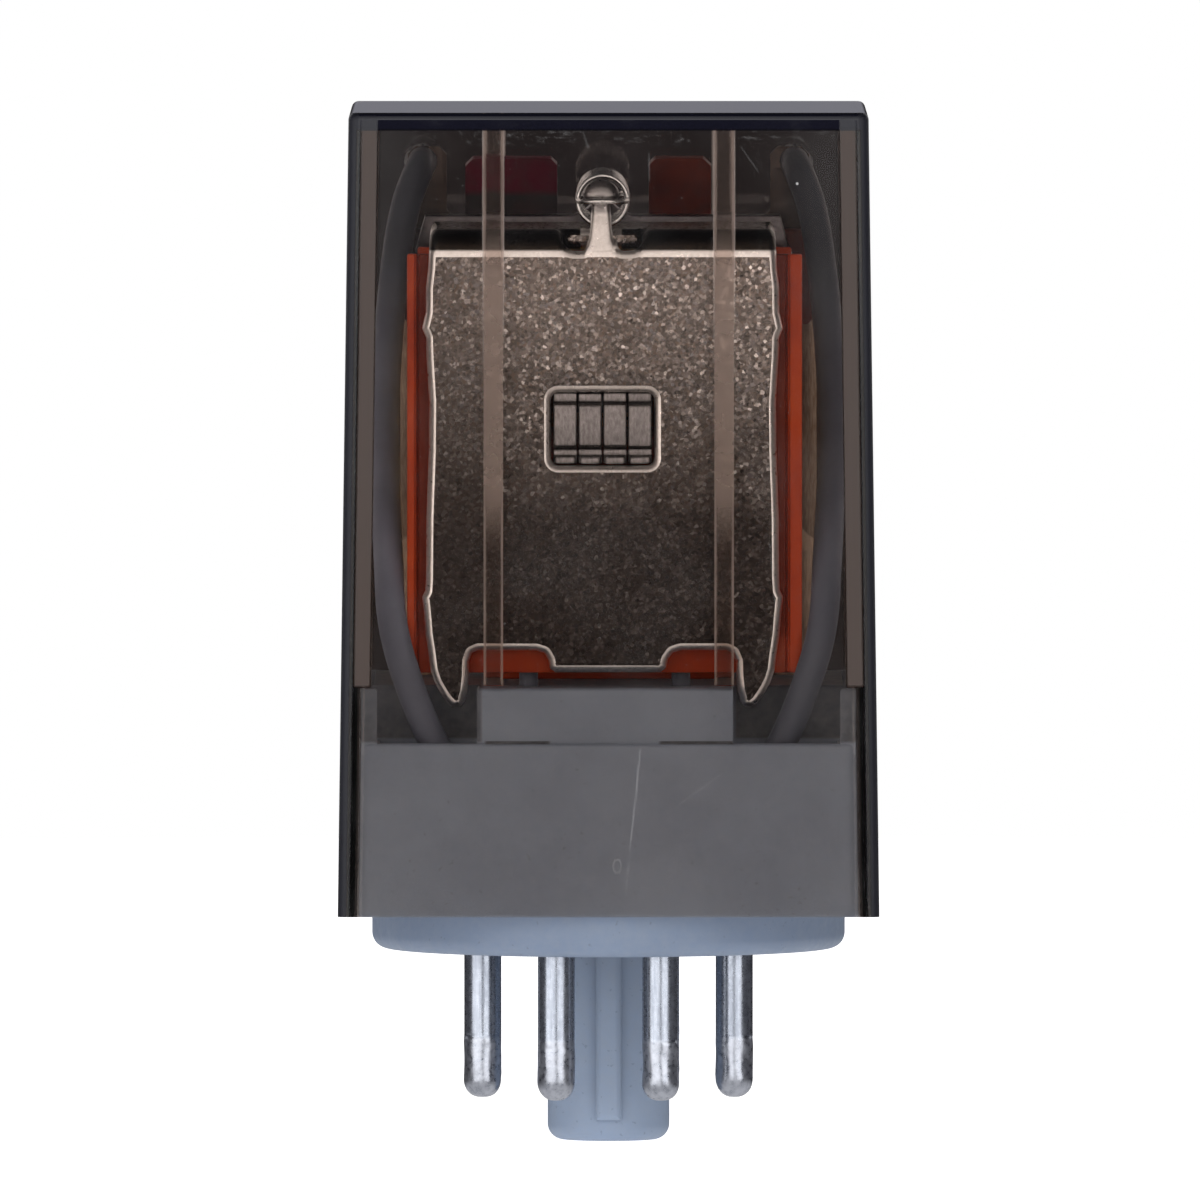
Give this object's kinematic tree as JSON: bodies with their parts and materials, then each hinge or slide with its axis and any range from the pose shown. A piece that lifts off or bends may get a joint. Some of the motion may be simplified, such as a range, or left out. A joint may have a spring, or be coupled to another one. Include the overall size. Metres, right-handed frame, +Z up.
{
  "type": "octal relay",
  "caption": "Plug-in relay in a smoked clear cover: coil on a plated yoke, hinged armature with changeover contacts, and a keyed octal plug base with round pins.",
  "frame": {"origin": "centre of the plug disc's seating face, on the axis of the pin circle", "axes": "+Z up through the cover, pins along -Z; the yoke plate and the spigot's key face -Y; +X is to the right seen from there"},
  "size_m": [0.0344, 0.0344, 0.0662],
  "materials": {
    "cover_pc": "smoked clear moulding, fine scratches",
    "base_plastic": "blue-grey moulded thermoset",
    "tinned_pin": "tinned, solder-dipped ends",
    "plated_steel": "nickel plated, grainy",
    "core_steel": "bare silicon steel stampings",
    "copper_ring": "bare copper",
    "bobbin_plastic": "orange-red moulded nylon",
    "enamelled_wire": "enamelled copper wire",
    "tape": "amber film tape",
    "lead_sleeve": "blue-grey soft PVC",
    "contact_strip": "rolled bronze strip",
    "contact_silver": "silver alloy rivets",
    "spring_wire": "drawn steel wire",
    "carrier_plastic": "orange-red moulding",
    "rivet_metal": "plated rivets"
  },
  "bodies": {
    "relay_body": {"bobbin": "bobbin_plastic", "coil_lead_left": "lead_sleeve", "coil_lead_right": "lead_sleeve", "coil_tape": "tape", "coil_winding": "enamelled_wire", "core_lamination_1": "core_steel", "core_lamination_2": "core_steel", "core_lamination_3": "core_steel", "core_lamination_4": "core_steel", "cover": "cover_pc", "flexible_lead_left": "lead_sleeve", "flexible_lead_right": "lead_sleeve", "nc_contact_left": "contact_silver", "nc_contact_right": "contact_silver", "nc_strip_left": "contact_strip", "nc_strip_right": "contact_strip", "no_contact_left": "contact_silver", "no_contact_right": "contact_silver", "no_strip_left": "contact_strip", "no_strip_right": "contact_strip", "pin_1": "tinned_pin", "pin_2": "tinned_pin", "pin_3": "tinned_pin", "pin_4": "tinned_pin", "pin_5": "tinned_pin", "pin_6": "tinned_pin", "pin_7": "tinned_pin", "pin_8": "tinned_pin", "plug_base": "base_plastic", "return_spring": "spring_wire", "shading_ring": "copper_ring", "yoke": "plated_steel"},
    "armature_unit": {"armature": "plated_steel", "blade_rivets_left": "rivet_metal", "blade_rivets_right": "rivet_metal", "carrier_rivets": "rivet_metal", "contact_carrier": "carrier_plastic", "moving_blade_left": "contact_strip", "moving_blade_right": "contact_strip", "moving_contact_left": "contact_silver", "moving_contact_right": "contact_silver"}
  },
  "joints": [
    {"name": "armature_hinge", "type": "hinge", "parent": "relay_body", "child": "armature_unit", "pos_m": [0, 0.00595, 0.0464], "axis": [-1, 0, 0], "range_deg": [0, 5], "stiffness_Nm_per_rad": 0.006, "springref_deg": -40.11, "deforming": ["return_spring", "flexible_lead_left", "flexible_lead_right"]}
  ]
}
